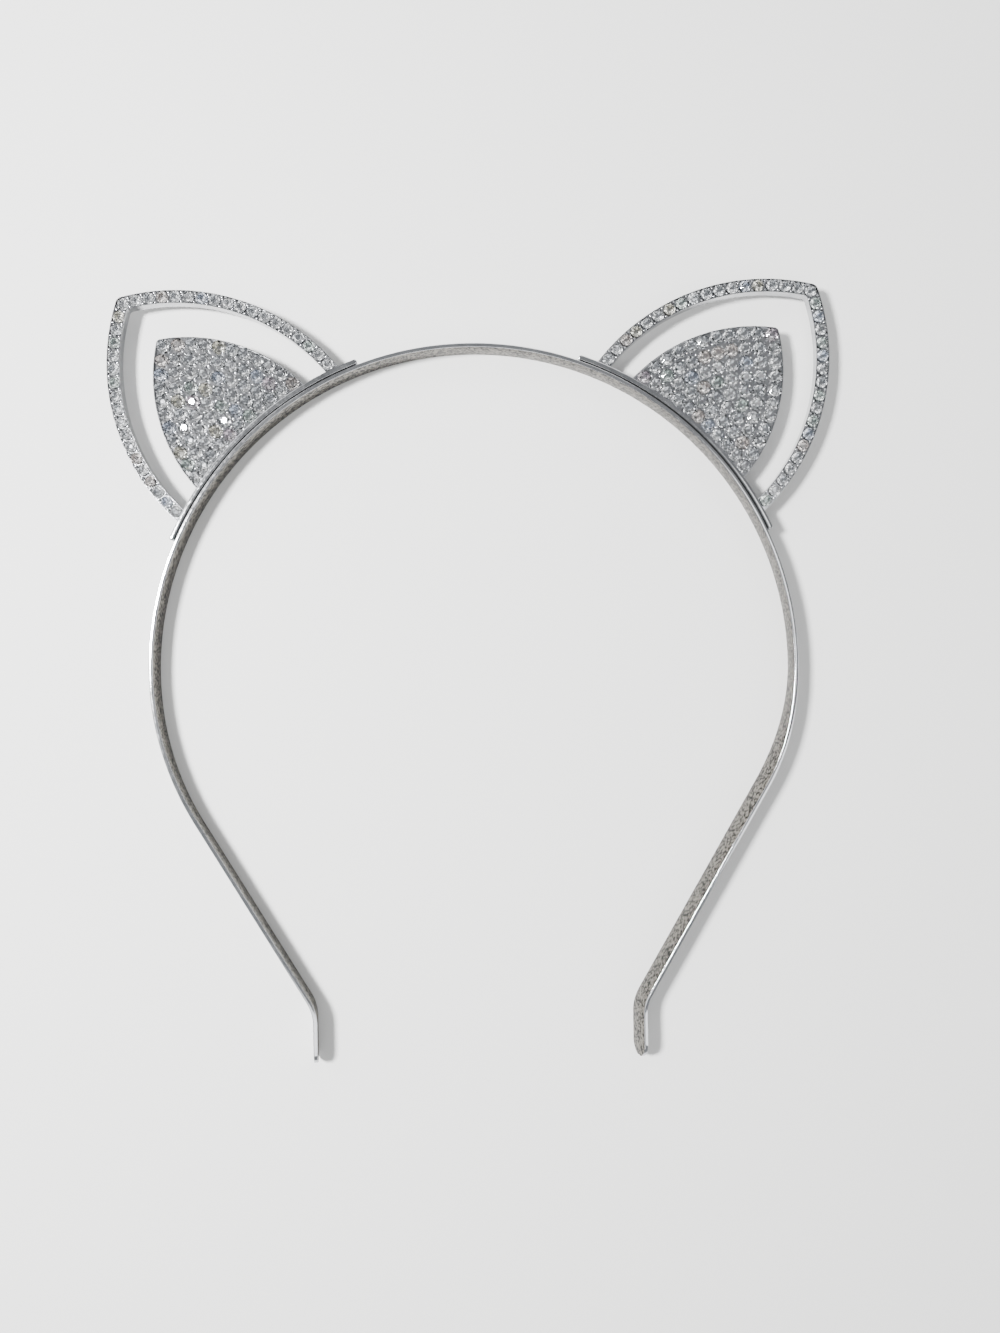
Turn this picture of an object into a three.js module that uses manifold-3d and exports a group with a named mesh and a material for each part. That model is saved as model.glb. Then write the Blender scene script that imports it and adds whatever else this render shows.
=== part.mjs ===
// Cat ears headband, lying flat: a polished metal strip stands on its back edge, and two
// stone-set ears stand out from it. +X is the wearer's side, +Y points from the leg ends
// to the ears, +Z up from the surface it lies on. Millimetres.
import * as THREE from 'three';
import * as BufferGeometryUtils from 'three/addons/utils/BufferGeometryUtils.js';
import Module from 'manifold-3d';

const wasm = await Module();
wasm.setup();

// Band: a strip on edge, a half circle over the head and two legs that close in
const BAND_DEPTH = 6;
const BAND_THICKNESS = 0.9;
const BAND_BEVEL = 0.2;
const CROWN_RADIUS = 69.2;
const END_BEND_RADIUS = 9;
const END_LENGTH = 9;
// The share of a quarter turn that the rounded end covers before its blunt tip
const END_ROUND_SHARE = 0.88;

// How each leg is sprung as it lies: the arc that turns it inwards, the turn itself in
// degrees, the straight below it, and the twist of its face in degrees, which grows from
// the crown to the leg and again in the end
const LEFT_JAW_RADIUS = 63;
const RIGHT_JAW_RADIUS = 52;
const LEFT_STRAIGHT = 44.5;
const RIGHT_STRAIGHT = 51.3;
const LEGS = [
  { side: -1, jawRadius: LEFT_JAW_RADIUS, turn: 31, straight: LEFT_STRAIGHT, legTwist: -5, endTwist: -7 },
  { side: 1, jawRadius: RIGHT_JAW_RADIUS, turn: 30.4, straight: RIGHT_STRAIGHT, legTwist: 12, endTwist: 17 },
];

// Ears: each is one casting of a base bar, a pointed frame and a smaller plate inside it
const EAR_ANGLE = 42.9;
const EAR_SPAN = 47.7;
const EAR_HEIGHT = 39.3;
const ARM_BOW = 7.4;
const FRAME_WIDTH = 2.75;
const FRAME_TIP_ROUND = 1.5;
const FRAME_INNER_ROUND = 0.9;
const PLATE_SIDE_GAP = 7;
const PLATE_TIP_GAP = 9.2;
const PLATE_FOOT_GAP = 5.4;
const PLATE_TIP_ROUND = 1;
const BAR_THICKNESS = 1;
const BAR_DEPTH = 5;
const BAR_SETBACK = 0.2;
const BAR_OVERHANG = 3.6;
const CASTING_BACK_HEIGHT = 2.5;
const CASTING_DEPTH = 2.1;

// Stones: a row of round cut stones on each frame and a close field on each plate
const SEAT_GAP = 0.3;
const SETTING_DEPTH = 0.3;
const SETTING_MARGIN = 0.1;
const STONE_MARGIN = 0.2;
const CROWN_HEIGHT = 0.6;
const TABLE_SHARE = 0.56;
const ROW_PITCH = 2.8;
const ROW_STONE_DIAMETER = 2.35;
const FIELD_ROWS = 11;
const FIELD_STONE_DIAMETER = 2.65;

// Fineness of the round stretches
const CROWN_STEP_DEGREES = 3;
const BEND_STEP_DEGREES = 6;
const LEG_STEPS = 8;
const END_ROUND_STEPS = 4;
const ARM_STEPS = 14;
const TIP_STEPS = 4;
const STONE_SIDES = 8;
const DISC_SIDES = 240;
// Points closer than this are one point
const MERGE_DISTANCE = 1e-5;

const metal = new THREE.MeshStandardMaterial({ color: '#c4c6c9', roughness: 0.14, metalness: 1 });
const crystal = new THREE.MeshStandardMaterial({ color: '#e6ebee', roughness: 0.06, metalness: 0.1 });

const radians = THREE.MathUtils.degToRad;
const barInner = CROWN_RADIUS + SEAT_GAP;
const barOuter = barInner + BAR_THICKNESS;
const castingFront = CASTING_BACK_HEIGHT + CASTING_DEPTH;

// Turns a closed three.js geometry into a solid that can be joined and cut
function solidOf(geometry) {
  const bare = geometry.clone();
  bare.deleteAttribute('normal');
  bare.deleteAttribute('uv');
  const merged = BufferGeometryUtils.mergeVertices(bare, MERGE_DISTANCE);
  return new wasm.Manifold(new wasm.Mesh({
    numProp: 3,
    vertProperties: new Float32Array(merged.attributes.position.array),
    triVerts: new Uint32Array(merged.index.array),
  }));
}

function geometryOf(solid) {
  const mesh = solid.getMesh();
  const geometry = new THREE.BufferGeometry();
  geometry.setAttribute('position', new THREE.BufferAttribute(mesh.vertProperties, mesh.numProp));
  geometry.setIndex(new THREE.BufferAttribute(mesh.triVerts, 1));
  geometry.computeVertexNormals();
  return geometry;
}

function slab(outline, low, depth) {
  const geometry = new THREE.ExtrudeGeometry(new THREE.Shape(outline), { depth, bevelEnabled: false });
  return geometry.translate(0, 0, low);
}

// The stretches of one leg's outer face from the top of the crown to the end: each has a
// length, the degrees that it turns towards the head, and the number of steps it is cut in
function stretches(leg) {
  const bend = Math.round(leg.turn / BEND_STEP_DEGREES);
  return [
    { length: CROWN_RADIUS * Math.PI / 2, turn: 90, steps: 90 / CROWN_STEP_DEGREES, twist: 0 },
    {
      length: leg.jawRadius * radians(leg.turn), turn: leg.turn,
      steps: Math.round(leg.turn / CROWN_STEP_DEGREES), twist: leg.legTwist,
    },
    { length: leg.straight, turn: 0, steps: LEG_STEPS, twist: leg.legTwist },
    { length: END_BEND_RADIUS * radians(leg.turn), turn: -leg.turn, steps: bend, twist: leg.endTwist },
    { length: END_LENGTH - BAND_DEPTH / 2, turn: 0, steps: 1, twist: leg.endTwist },
  ];
}

// Walks down one leg and gives its stations: a point on the outer face, the way down the
// band, the twist there and the share of the full depth that is left by the rounded end
function stations(leg) {
  const list = [{ x: 0, y: CROWN_RADIUS, heading: 0, twist: 0, share: 1 }];
  const step = (length, turn, twist, share) => {
    const from = list.at(-1);
    const chord = turn === 0 ? length : length * Math.sin(turn / 2) / (turn / 2);
    const middle = from.heading - turn / 2;
    list.push({
      x: from.x + chord * Math.cos(middle), y: from.y + chord * Math.sin(middle),
      heading: from.heading - turn, twist, share,
    });
  };
  for (const { length, turn, steps, twist } of stretches(leg)) {
    const start = list.at(-1).twist;
    for (let i = 1; i <= steps; i += 1) {
      const eased = THREE.MathUtils.smoothstep(i / steps, 0, 1);
      step(length / steps, radians(turn) / steps, start + (radians(twist) - start) * eased, 1);
    }
  }
  let reached = 0;
  for (let i = 1; i <= END_ROUND_STEPS; i += 1) {
    const angle = END_ROUND_SHARE * (Math.PI / 2) * i / END_ROUND_STEPS;
    const next = BAND_DEPTH / 2 * Math.sin(angle);
    step(next - reached, 0, list.at(-1).twist, Math.cos(angle));
    reached = next;
  }
  return list.map((s) => ({
    ...s,
    x: leg.side * s.x,
    outward: new THREE.Vector2(-leg.side * Math.sin(s.heading), Math.cos(s.heading)),
  }));
}

// One ring of the band at a station: a bevelled rectangle, turned by the twist about its
// own middle and set down so that its back edge lies on the surface
function bandRing(station) {
  const half = BAND_DEPTH / 2;
  const corners = [
    [0, -half + BAND_BEVEL], [0, half - BAND_BEVEL], [-BAND_BEVEL, half],
    [-BAND_THICKNESS + BAND_BEVEL, half], [-BAND_THICKNESS, half - BAND_BEVEL],
    [-BAND_THICKNESS, -half + BAND_BEVEL], [-BAND_THICKNESS + BAND_BEVEL, -half], [-BAND_BEVEL, -half],
  ];
  const cos = Math.cos(station.twist);
  const sin = Math.sin(station.twist);
  const middle = -BAND_THICKNESS / 2;
  const turned = corners.map(([out, up]) => [
    middle + (out - middle) * cos + up * sin, up * cos - (out - middle) * sin,
  ]);
  const lowest = Math.min(...turned.map(([, up]) => up));
  return corners.map(([out, up]) => {
    const shared = up * station.share;
    const across = middle + (out - middle) * cos + shared * sin;
    const height = shared * cos - (out - middle) * sin - lowest;
    return new THREE.Vector3(
      station.x + station.outward.x * across, station.y + station.outward.y * across, height,
    );
  });
}

function bandGeometry() {
  const [left, right] = LEGS.map(stations);
  const rings = [...left.slice(1).reverse(), ...right].map(bandRing);
  const sides = rings[0].length;
  const positions = rings.flat().flatMap((point) => point.toArray());
  const index = [];
  for (let r = 0; r + 1 < rings.length; r += 1) {
    for (let i = 0; i < sides; i += 1) {
      const j = (i + 1) % sides;
      const [a, b, c, d] = [r * sides + i, r * sides + j, (r + 1) * sides + i, (r + 1) * sides + j];
      index.push(a, b, c, b, d, c);
    }
  }
  const last = (rings.length - 1) * sides;
  for (let i = 1; i + 1 < sides; i += 1) {
    index.push(0, i + 1, i, last, last + i, last + i + 1);
  }
  const geometry = new THREE.BufferGeometry();
  geometry.setAttribute('position', new THREE.Float32BufferAttribute(positions, 3));
  geometry.setIndex(index);
  geometry.computeVertexNormals();
  return geometry;
}

// A pointed arch, even about x = 0: two arcs that bow outwards from the feet and meet in a
// rounded tip. The arcs run on past the feet by the given reach, for a later trim.
function pointedArch(footX, footY, tipY, radius, round, reach) {
  const chord = new THREE.Vector2(-footX, tipY - footY);
  const inset = Math.sqrt(radius ** 2 - chord.lengthSq() / 4);
  const normal = new THREE.Vector2(chord.y, -chord.x).normalize();
  const centreX = footX / 2 - normal.x * inset;
  const centreY = (footY + tipY) / 2 - normal.y * inset;
  return archAbout(centreX, centreY, radius, round, footX, footY, reach);
}

// The same arch from its right arc's centre, which lies left of the middle
function archAbout(centreX, centreY, radius, round, footX, footY, reach) {
  const tipCentreY = centreY + Math.sqrt((radius - round) ** 2 - centreX ** 2);
  const meet = Math.atan2(tipCentreY - centreY, -centreX);
  const foot = Math.atan2(footY - centreY, footX - centreX) - reach / radius;
  const path = new THREE.Path();
  path.absarc(centreX, centreY, radius, foot, meet, false);
  path.absarc(0, tipCentreY, round, meet, Math.PI - meet, false);
  path.absarc(-centreX, centreY, radius, Math.PI - meet, Math.PI - foot, false);
  path.userData = { centreX, centreY, radius };
  return path;
}

function archPoints(path) {
  const counts = [ARM_STEPS, TIP_STEPS, ARM_STEPS];
  return path.curves.filter((curve) => curve.isEllipseCurve).flatMap((curve, i) => {
    const points = curve.getPoints(counts[i]);
    return i === 0 ? points : points.slice(1);
  });
}

// Where an arc about (centreX, centreY) meets the round of the given radius about the
// crown's centre, on its right side
function footOn(centreX, centreY, radius, round) {
  const apart = Math.hypot(centreX, centreY);
  const along = (apart ** 2 + round ** 2 - radius ** 2) / (2 * apart);
  const across = Math.sqrt(round ** 2 - along ** 2);
  const [ux, uy] = [centreX / apart, centreY / apart];
  return new THREE.Vector2(ux * along + uy * across, uy * along - ux * across);
}

// The ear's outlines in its own frame: the crown's centre at the origin, the tip on +Y
const reach = BAR_THICKNESS + SEAT_GAP;
const footX = EAR_SPAN / 2;
const footY = Math.sqrt(barOuter ** 2 - footX ** 2);
const tipY = barOuter + EAR_HEIGHT;
const armChord = Math.hypot(footX, tipY - footY);
const armRadius = (armChord ** 2 / 4 + ARM_BOW ** 2) / (2 * ARM_BOW);
const frameOuter = pointedArch(footX, footY, tipY, armRadius, FRAME_TIP_ROUND, reach);
const arc = frameOuter.userData;

function frameArch(inwards, round, clear) {
  const radius = arc.radius - inwards;
  const foot = footOn(arc.centreX, arc.centreY, radius, barOuter + clear);
  return archAbout(arc.centreX, arc.centreY, radius, round, foot.x, foot.y, clear > 0 ? 0 : reach);
}

const frameInner = frameArch(FRAME_WIDTH, FRAME_INNER_ROUND, 0);
const innerFoot = footOn(arc.centreX, arc.centreY, arc.radius - FRAME_WIDTH, barOuter);
const innerTipY = arc.centreY + Math.sqrt((arc.radius - FRAME_WIDTH) ** 2 - arc.centreX ** 2);
const plateAngle = Math.asin(innerFoot.x / barOuter) - PLATE_FOOT_GAP / barOuter;
const plateFoot = new THREE.Vector2(Math.sin(plateAngle), Math.cos(plateAngle)).multiplyScalar(barOuter);
const plateTipY = innerTipY - PLATE_TIP_GAP;
const plateRadius = arc.radius - FRAME_WIDTH - PLATE_SIDE_GAP;
const plateArch = pointedArch(plateFoot.x, plateFoot.y, plateTipY, plateRadius, PLATE_TIP_ROUND, reach);

// A disc about the crown's centre that reaches past the band's depth both ways, for trims
function crownDisc(radius) {
  const disc = new THREE.CylinderGeometry(radius, radius, 4 * BAND_DEPTH, DISC_SIDES);
  return solidOf(disc.rotateX(Math.PI / 2));
}

// The base bar: a strip bent along the crown with rounded ends
function barOutline() {
  const half = Math.asin(footX / barOuter) + BAR_OVERHANG / barOuter;
  const steps = 2 * Math.ceil(THREE.MathUtils.radToDeg(half) / CROWN_STEP_DEGREES);
  const end = BAR_THICKNESS / 2;
  const path = new THREE.Path();
  const middle = barInner + end;
  const ends = [half, -half].map((a) => [middle * Math.sin(a), middle * Math.cos(a)]);
  path.absarc(0, 0, barOuter, Math.PI / 2 - half, Math.PI / 2 + half, false);
  path.absarc(...ends[1], end, Math.PI / 2 + half, Math.PI * 1.5 + half, false);
  path.absarc(0, 0, barInner, Math.PI / 2 + half, Math.PI / 2 - half, true);
  path.absarc(...ends[0], end, Math.PI * 1.5 - half, Math.PI * 2.5 - half, false);
  const counts = [steps, TIP_STEPS, steps, TIP_STEPS];
  return path.curves.filter((curve) => curve.isEllipseCurve).flatMap((curve, i) => (
    curve.getPoints(counts[i]).slice(1)
  ));
}

function castingSolid() {
  const frame = slab([...archPoints(frameOuter), ...archPoints(frameInner).reverse()],
    CASTING_BACK_HEIGHT, CASTING_DEPTH);
  const plate = slab(archPoints(plateArch), CASTING_BACK_HEIGHT, CASTING_DEPTH);
  const bar = slab(barOutline(), BAND_DEPTH - BAR_SETBACK - BAR_DEPTH, BAR_DEPTH);
  const insideBar = crownDisc(barInner + BAR_THICKNESS / 2);
  return solidOf(frame).add(solidOf(plate)).subtract(insideBar).add(solidOf(bar));
}

// A cut stone: a flat table and eight crown facets over a round seat
function stoneAt(point, diameter, low) {
  const stone = new THREE.CylinderGeometry(
    diameter / 2 * TABLE_SHARE, diameter / 2, CROWN_HEIGHT, STONE_SIDES, 1,
  );
  stone.rotateX(Math.PI / 2);
  stone.rotateZ(Math.atan2(point.y, point.x));
  return solidOf(stone.translate(point.x, point.y, low + CROWN_HEIGHT / 2));
}

// Joins stones to the setting that carries them, a little above the casting's face
function stonesOn(setting, centres, diameter) {
  const low = castingFront + SEAT_GAP;
  const carrier = solidOf(slab(setting, low, SETTING_DEPTH)).subtract(crownDisc(barOuter + SEAT_GAP));
  const stones = centres.map((centre) => stoneAt(centre, diameter, low + SETTING_DEPTH / 2));
  return wasm.Manifold.union([carrier, ...stones]);
}

// The frame's row: stones at an even pitch along the middle of the strip
function rowSolid() {
  const inner = frameArch(FRAME_WIDTH - SETTING_MARGIN, FRAME_INNER_ROUND, 0);
  const outer = frameArch(SETTING_MARGIN, FRAME_TIP_ROUND, 0);
  const clear = SEAT_GAP + ROW_STONE_DIAMETER / 2;
  const line = frameArch(FRAME_WIDTH / 2, FRAME_TIP_ROUND, clear);
  const count = Math.round(line.getLength() / ROW_PITCH);
  return stonesOn([...archPoints(outer), ...archPoints(inner).reverse()],
    line.getSpacedPoints(count), ROW_STONE_DIAMETER);
}

// The plate's field: rows parallel to its sides, bowed as the sides are, so that the
// outermost stones follow the edge
function fieldSolid() {
  const { centreX, centreY, radius } = plateArch.userData;
  const edge = STONE_MARGIN + FIELD_STONE_DIAMETER / 2;
  const sideRadius = radius - edge;
  const baseRadius = barOuter + SEAT_GAP + FIELD_STONE_DIAMETER / 2;
  const foot = footOn(centreX, centreY, sideRadius, baseRadius);
  const tip = new THREE.Vector2(0, centreY + Math.sqrt(sideRadius ** 2 - centreX ** 2));
  const corners = [tip, foot, new THREE.Vector2(-foot.x, foot.y)];
  const sideBow = bowOf(corners[0].distanceTo(corners[1]), sideRadius);
  const baseBow = bowOf(2 * foot.x, baseRadius);
  const centres = [];
  for (let row = 0; row < FIELD_ROWS; row += 1) {
    for (let i = 0; i <= row; i += 1) {
      const share = [FIELD_ROWS - 1 - row, row - i, i].map((n) => n / (FIELD_ROWS - 1));
      centres.push(inBowedTriangle(corners, share, sideBow, baseBow));
    }
  }
  const setting = archAbout(centreX, centreY, radius - SETTING_MARGIN, PLATE_TIP_ROUND,
    plateFoot.x, plateFoot.y, reach);
  return stonesOn(archPoints(setting), centres, FIELD_STONE_DIAMETER);
}

// How far an arc of the given radius stands off its chord
function bowOf(chord, radius) {
  return radius - Math.sqrt(radius ** 2 - chord ** 2 / 4);
}

// A point of a triangle by its shares of the three corners, with the two sides and the base
// bowed; 4 times the product of two shares is 1 at the middle of the side between them
function inBowedTriangle([tip, right, left], [t, r, l], sideBow, baseBow) {
  const flat = tip.clone().multiplyScalar(t).addScaledVector(right, r).addScaledVector(left, l);
  const side = right.clone().sub(tip).normalize();
  const outwards = new THREE.Vector2(-side.y, side.x);
  flat.addScaledVector(outwards, 4 * t * r * sideBow);
  flat.addScaledVector(new THREE.Vector2(-outwards.x, outwards.y), 4 * t * l * sideBow);
  return flat.add(new THREE.Vector2(0, 4 * r * l * baseBow));
}

function piece(name, geometry, material) {
  const mesh = new THREE.Mesh(geometry, material);
  mesh.name = name;
  return mesh;
}

const headband = new THREE.Group();
headband.add(piece('band', bandGeometry(), metal));
const earPieces = [
  ['ear_casting', geometryOf(castingSolid()), metal],
  ['frame_stones', geometryOf(rowSolid()), crystal],
  ['plate_stones', geometryOf(fieldSolid()), crystal],
];
for (const { side } of LEGS) {
  const ear = new THREE.Group();
  ear.rotation.z = -side * radians(EAR_ANGLE);
  for (const [name, geometry, material] of earPieces) {
    ear.add(piece(`${side < 0 ? 'left' : 'right'}_${name}`, geometry, material));
  }
  headband.add(ear);
}

// The origin is the middle of the whole headband's footprint, on the surface
headband.updateMatrixWorld(true);
const box = new THREE.Box3().setFromObject(headband, true);
headband.position.set(-(box.min.x + box.max.x) / 2, -(box.min.y + box.max.y) / 2, -box.min.z);

export default headband;
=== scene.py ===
"""Looks of the cat ears headband: a plated strip and two stone-set ears, lying flat.

Everything is in the part's own frame. The part's sizes are dataclass fields in
millimetres, and MM turns them to Blender's metres.
"""

import logging
import math
import random
from collections.abc import Callable
from dataclasses import dataclass
from enum import Enum

import bmesh
import bpy
from mathutils import Euler, Matrix, Vector

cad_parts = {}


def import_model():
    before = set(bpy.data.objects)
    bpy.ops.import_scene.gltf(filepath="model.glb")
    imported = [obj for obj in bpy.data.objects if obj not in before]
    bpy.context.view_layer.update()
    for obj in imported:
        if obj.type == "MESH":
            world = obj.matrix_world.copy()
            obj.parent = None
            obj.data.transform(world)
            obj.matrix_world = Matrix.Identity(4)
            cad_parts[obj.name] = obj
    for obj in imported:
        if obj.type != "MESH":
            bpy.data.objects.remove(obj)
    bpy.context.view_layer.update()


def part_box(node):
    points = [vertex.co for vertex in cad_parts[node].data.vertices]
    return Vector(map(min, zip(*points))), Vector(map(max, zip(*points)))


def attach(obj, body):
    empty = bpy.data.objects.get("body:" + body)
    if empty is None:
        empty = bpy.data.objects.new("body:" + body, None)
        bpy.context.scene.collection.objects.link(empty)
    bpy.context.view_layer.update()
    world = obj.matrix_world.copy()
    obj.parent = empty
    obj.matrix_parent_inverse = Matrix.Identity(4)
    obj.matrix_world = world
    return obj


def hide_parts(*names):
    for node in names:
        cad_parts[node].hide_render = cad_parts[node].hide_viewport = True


LOG = logging.getLogger("headband")
MM = 0.001
BODY = "root"
STONE_FIRE_TINT = "stone_fire_tint"
# metres within which two points are taken as one
WELD = 1e-6
# millimetres that a cutting form stands past what it cuts
OVERSHOOT = 1.0
# how much of a unit normal lies along an axis when its face looks that way
FACING = 0.9
# the level that a noise pattern varies about
NOISE_MIDDLE = 0.5
# a mix node's colour sockets by number, as its other sockets share their names
MIX_SHARE, MIX_A, MIX_B, MIX_OUT = 0, 6, 7, 2
Point = tuple[float, float]


class Side(Enum):
    """Which side of the headband a piece is on."""

    LEFT = -1
    RIGHT = 1

    @property
    def word(self) -> str:
        """The word that starts the names of this side's nodes."""
        return self.name.lower()


def srgb(code: str) -> tuple[float, float, float, float]:
    """Turns an sRGB hex colour to the linear colour that a shader takes.

    Args:
        code: six hex digits after a number sign.

    Returns:
        Linear red, green and blue, with full alpha.
    """
    parts = [int(code[i : i + 2], 16) / 255 for i in (1, 3, 5)]
    return (*[c / 12.92 if c <= 0.04045 else ((c + 0.055) / 1.055) ** 2.4 for c in parts], 1.0)


def add_node(
    tree: bpy.types.NodeTree,
    kind: str,
    values: dict | None = None,
    links: dict | None = None,
    **settings: object,
) -> bpy.types.Node:
    """Adds a node with its settings, socket values and links.

    Args:
        tree: the node tree that takes it.
        kind: the node's type name.
        values: input socket to value.
        links: input socket to the output that feeds it.
        settings: properties of the node itself.

    Returns:
        The new node.
    """
    node = tree.nodes.new(kind)
    for name, value in settings.items():
        setattr(node, name, value)
    for name, value in (values or {}).items():
        node.inputs[name].default_value = value
    for name, output in (links or {}).items():
        tree.links.new(output, node.inputs[name])
    return node


def new_material(name: str) -> tuple[bpy.types.Material, bpy.types.NodeTree, bpy.types.Node]:
    """Makes a material with a plain surface shader.

    Args:
        name: what the finish is called.

    Returns:
        The material, its node tree and its surface shader.
    """
    material = bpy.data.materials.new(name)
    material.use_nodes = True
    return material, material.node_tree, material.node_tree.nodes["Principled BSDF"]


def cells_per_metre(size_mm: float) -> float:
    """The noise scale at which one feature is about this many millimetres."""
    return 1 / (size_mm * MM)


@dataclass(frozen=True)
class MottledMetal:
    """Plated metal whose tone, gloss and surface vary a little.

    Bright chrome is a neutral, slightly dark mirror of what is round it; a satin one blurs it, and in
    it the dark speckle of the tone is a painted reflection.
    """

    name: str
    light: str
    dark: str
    smooth: float
    rough: float
    patch_mm: float
    grain_mm: float
    relief_mm: float
    spread: float = 0.15
    grain_spread: float = 0.2
    patch_detail: float = 4.0
    patch_roughness: float = 0.6
    grain_detail: float = 2.0
    bump_strength: float = 0.5

    def build(self) -> bpy.types.Material:
        """Builds the material.

        Returns:
            The material, patterned in the part's own frame.
        """
        material, tree, surface = new_material(self.name)
        surface.inputs["Metallic"].default_value = 1.0
        place = add_node(tree, "ShaderNodeTexCoord").outputs["Object"]
        patches = add_node(
            tree, "ShaderNodeTexNoise",
            {
                "Scale": cells_per_metre(self.patch_mm),
                "Detail": self.patch_detail,
                "Roughness": self.patch_roughness,
            },
            {"Vector": place},
        )
        grain = add_node(
            tree, "ShaderNodeTexNoise",
            {"Scale": cells_per_metre(self.grain_mm), "Detail": self.grain_detail},
            {"Vector": place},
        )
        tone = add_node(
            tree, "ShaderNodeMapRange",
            {"From Min": NOISE_MIDDLE - self.spread, "From Max": NOISE_MIDDLE + self.spread},
            {"Value": patches.outputs["Fac"]},
        )
        colour = add_node(
            tree, "ShaderNodeMix", {MIX_A: srgb(self.dark), MIX_B: srgb(self.light)},
            {MIX_SHARE: tone.outputs["Result"]}, data_type="RGBA",
        )
        gloss = add_node(
            tree, "ShaderNodeMapRange",
            {
                "From Min": NOISE_MIDDLE - self.grain_spread,
                "From Max": NOISE_MIDDLE + self.grain_spread,
                "To Min": self.smooth,
                "To Max": self.rough,
            },
            {"Value": grain.outputs["Fac"]},
        )
        bump = add_node(
            tree, "ShaderNodeBump",
            {"Strength": self.bump_strength, "Distance": self.relief_mm * MM},
            {"Height": grain.outputs["Fac"]},
        )
        tree.links.new(colour.outputs[MIX_OUT], surface.inputs["Base Color"])
        tree.links.new(gloss.outputs["Result"], surface.inputs["Roughness"])
        tree.links.new(bump.outputs["Normal"], surface.inputs["Normal"])
        return material


@dataclass(frozen=True)
class CutGlass:
    """Cut glass: clear, with sharp facets that bend what the foil behind them mirrors."""

    name: str = "cut_glass_crown"
    colour: str = "#FAFCFD"
    ior: float = 1.56
    roughness: float = 0.0
    fire_tint_share: float = 0.5

    def build(self) -> bpy.types.Material:
        """Builds the glass, half of whose colour is each stone's tint, painted in for the glass's
        coloured fire.

        Returns:
            The material for the crowns.
        """
        material, tree, surface = new_material(self.name)
        surface.inputs["Roughness"].default_value = self.roughness
        surface.inputs["IOR"].default_value = self.ior
        surface.inputs["Transmission Weight"].default_value = 1.0
        # the stone's tint is painted fire: coloured glints put into the glass's colour
        tint = add_node(tree, "ShaderNodeAttribute", attribute_name=STONE_FIRE_TINT)
        mixed = add_node(
            tree, "ShaderNodeMix", {MIX_SHARE: self.fire_tint_share, MIX_A: srgb(self.colour)},
            {MIX_B: tint.outputs["Color"]}, data_type="RGBA",
        )
        tree.links.new(mixed.outputs[MIX_OUT], surface.inputs["Base Color"])
        return material


@dataclass(frozen=True)
class Foil:
    """Silver foiling on the back of a stone: a slightly blurred mirror that throws light back."""

    name: str = "silver_foil_back"
    roughness: float = 0.1

    def build(self) -> bpy.types.Material:
        """Builds the foil in each stone's tint, painted in for the glass's coloured fire.

        Returns:
            The material for the stones' backs.
        """
        material, tree, surface = new_material(self.name)
        surface.inputs["Metallic"].default_value = 1.0
        surface.inputs["Roughness"].default_value = self.roughness
        # the stone's tint is painted fire: coloured glints put into the foil's colour
        tint = add_node(tree, "ShaderNodeAttribute", attribute_name=STONE_FIRE_TINT)
        tree.links.new(tint.outputs["Color"], surface.inputs["Base Color"])
        return material


@dataclass(frozen=True)
class Paper:
    """Matt seamless paper: a pale grey that the key lights up, so that shadows keep their depth."""

    name: str = "matt_studio_paper"
    colour: str = "#C6C6C5"
    roughness: float = 0.9
    # the flecks are drawn coarser than paper's real fibres
    fleck_mm: float = 1.5
    relief_mm: float = 0.02
    bump_strength: float = 0.1

    def build(self) -> bpy.types.Material:
        """Builds the paper.

        Returns:
            The floor's material.
        """
        material, tree, surface = new_material(self.name)
        surface.inputs["Roughness"].default_value = self.roughness
        surface.inputs["Base Color"].default_value = srgb(self.colour)
        place = add_node(tree, "ShaderNodeTexCoord").outputs["Object"]
        fibre = add_node(
            tree, "ShaderNodeTexNoise", {"Scale": cells_per_metre(self.fleck_mm)},
            {"Vector": place},
        )
        bump = add_node(
            tree, "ShaderNodeBump",
            {"Strength": self.bump_strength, "Distance": self.relief_mm * MM},
            {"Height": fibre.outputs["Fac"]},
        )
        tree.links.new(bump.outputs["Normal"], surface.inputs["Normal"])
        return material


# chrome on smooth strip: a clean mirror whose tone hardly drifts
BRIGHT_CHROME = MottledMetal(
    "bright_chrome_plating", light="#C4C5C7", dark="#ADAEB1", smooth=0.07, rough=0.14,
    patch_mm=9.0, grain_mm=0.8, relief_mm=0.004,
)
# chrome on a casting: a little darker, with faint waves left by the mould
CAST_CHROME = MottledMetal(
    "bright_chrome_casting", light="#B6B7B9", dark="#9C9DA0", smooth=0.07, rough=0.16,
    patch_mm=5.0, grain_mm=0.6, relief_mm=0.006,
)
# satin chrome inside the band: its dark speckle is a painted reflection of a rough floor, and its
# dark tone is partly painted shade; the patches are drawn coarser than real satin plating has them,
# so that they show in the picture
SATIN_CHROME_PAINTED_SHADE_REFLECTION = MottledMetal(
    "satin_chrome_inner_face", light="#7A766F", dark="#0D0C0B", smooth=0.3, rough=0.5,
    patch_mm=0.62, grain_mm=0.3, relief_mm=0.05, spread=0.05,
)


def clear_selection() -> None:
    """Leaves edit mode and deselects every object."""
    if bpy.context.object and bpy.context.object.mode != "OBJECT":
        bpy.ops.object.mode_set(mode="OBJECT")
    bpy.ops.object.select_all(action="DESELECT")


def activate(obj: bpy.types.Object) -> bpy.types.Object:
    """Makes one object the only selected and the active one."""
    clear_selection()
    obj.select_set(True)
    bpy.context.view_layer.objects.active = obj
    return obj


def added(name: str) -> bpy.types.Object:
    """Names the object that an operator has just added."""
    bpy.context.object.name = name
    return bpy.context.object


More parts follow.
